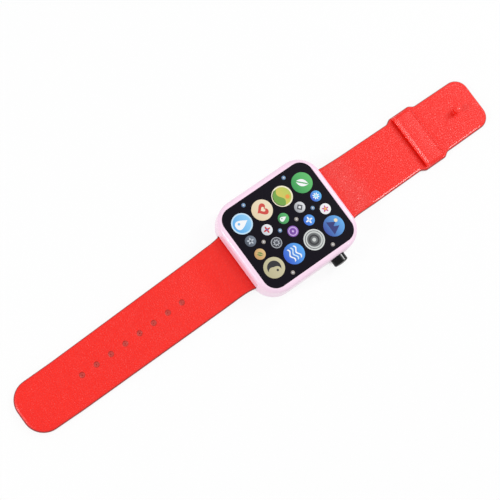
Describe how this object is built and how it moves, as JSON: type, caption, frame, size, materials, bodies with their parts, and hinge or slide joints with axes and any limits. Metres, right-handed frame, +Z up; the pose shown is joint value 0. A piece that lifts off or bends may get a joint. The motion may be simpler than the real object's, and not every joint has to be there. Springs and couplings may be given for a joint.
{
  "type": "toy watch",
  "caption": "Toy wrist watch: square rounded case with a printed face, push-button crown and a soft strap in two halves on spring bars, closed by a stud, holes and a moulded keeper.",
  "frame": {"origin": "under the middle of the case, on the flat back that the watch rests on", "axes": "+X along the strap towards the half with the keeper and stud, -Y towards the crown, +Z up through the face"},
  "size_m": [0.1982, 0.0395, 0.0096],
  "materials": {
    "case_pink": "glossy moulded plastic",
    "cover_pink": "satin moulded plastic",
    "face_print": "glossy printed film",
    "window_smoke": "smoked clear plastic",
    "tape_grey": "matte adhesive foil",
    "strap_red": "satin, fine leather grain",
    "crown_black": "glossy moulded plastic",
    "frame_white": "matte moulded plastic",
    "board_green": "solder mask over glass cloth",
    "display_ivory": "moulded display block",
    "chip_black": "hard black resin",
    "switch_black": "matte moulded plastic",
    "steel": "bright steel",
    "brass": "bright spring brass"
  },
  "bodies": {
    "case": {"case_shell": "case_pink", "back_cover": "cover_pink", "back_screws": "steel", "face_film": "face_print", "face_window": "window_smoke", "window_tape": "tape_grey", "movement_frame": "frame_white", "circuit_board": "board_green", "board_screws": "steel", "led_display": "display_ivory", "chip_blob": "chip_black", "crystal_can": "steel", "board_resistors": "chip_black", "button_switch": "switch_black", "crown_spring": "steel", "coin_cell": "steel", "contact_positive": "brass", "contact_negative": "brass", "bar_tube_long": "steel", "bar_tube_short": "steel", "bar_spring_long": "steel", "bar_spring_short": "steel"},
    "strap_long": {"strap_long": "strap_red"},
    "strap_short": {"strap_short": "strap_red"},
    "crown": {"crown_button": "crown_black", "crown_clip": "steel"},
    "plunger": {"switch_plunger": "display_ivory"},
    "tip_long_left": {"bar_tip_long_left": "steel"},
    "tip_long_right": {"bar_tip_long_right": "steel"},
    "tip_short_left": {"bar_tip_short_left": "steel"},
    "tip_short_right": {"bar_tip_short_right": "steel"}
  },
  "joints": [
    {"name": "strap_long_hinge", "type": "hinge", "parent": "case", "child": "strap_long", "pos_m": [-0.0182, 0, 0.0028], "axis": [0, -1, 0], "range_deg": [-8, 95]},
    {"name": "strap_short_hinge", "type": "hinge", "parent": "case", "child": "strap_short", "pos_m": [0.0182, 0, 0.0028], "axis": [0, 1, 0], "range_deg": [-8, 95]},
    {"name": "crown_push", "type": "slide", "parent": "case", "child": "crown", "axis": [0, 1, 0], "range_m": [0, 0.0006], "stiffness_N_per_m": 400, "springref_m": -0.0005, "deforming": ["crown_spring"]},
    {"name": "switch_push", "type": "slide", "parent": "case", "child": "plunger", "axis": [0, 1, 0], "range_m": [0, 0.0007]},
    {"name": "tip_long_left_slide", "type": "slide", "parent": "case", "child": "tip_long_left", "axis": [0, -1, 0], "range_m": [0, 0.0014], "stiffness_N_per_m": 300, "springref_m": -0.001, "deforming": ["bar_spring_long"]},
    {"name": "tip_long_right_slide", "type": "slide", "parent": "case", "child": "tip_long_right", "axis": [0, 1, 0], "range_m": [0, 0.0014], "stiffness_N_per_m": 300, "springref_m": -0.001, "deforming": ["bar_spring_long"]},
    {"name": "tip_short_left_slide", "type": "slide", "parent": "case", "child": "tip_short_left", "axis": [0, -1, 0], "range_m": [0, 0.0014], "stiffness_N_per_m": 300, "springref_m": -0.001, "deforming": ["bar_spring_short"]},
    {"name": "tip_short_right_slide", "type": "slide", "parent": "case", "child": "tip_short_right", "axis": [0, 1, 0], "range_m": [0, 0.0014], "stiffness_N_per_m": 300, "springref_m": -0.001, "deforming": ["bar_spring_short"]}
  ],
  "couplings": [
    {"joint": "switch_push", "follows": "crown_push", "ratio": 1}
  ]
}
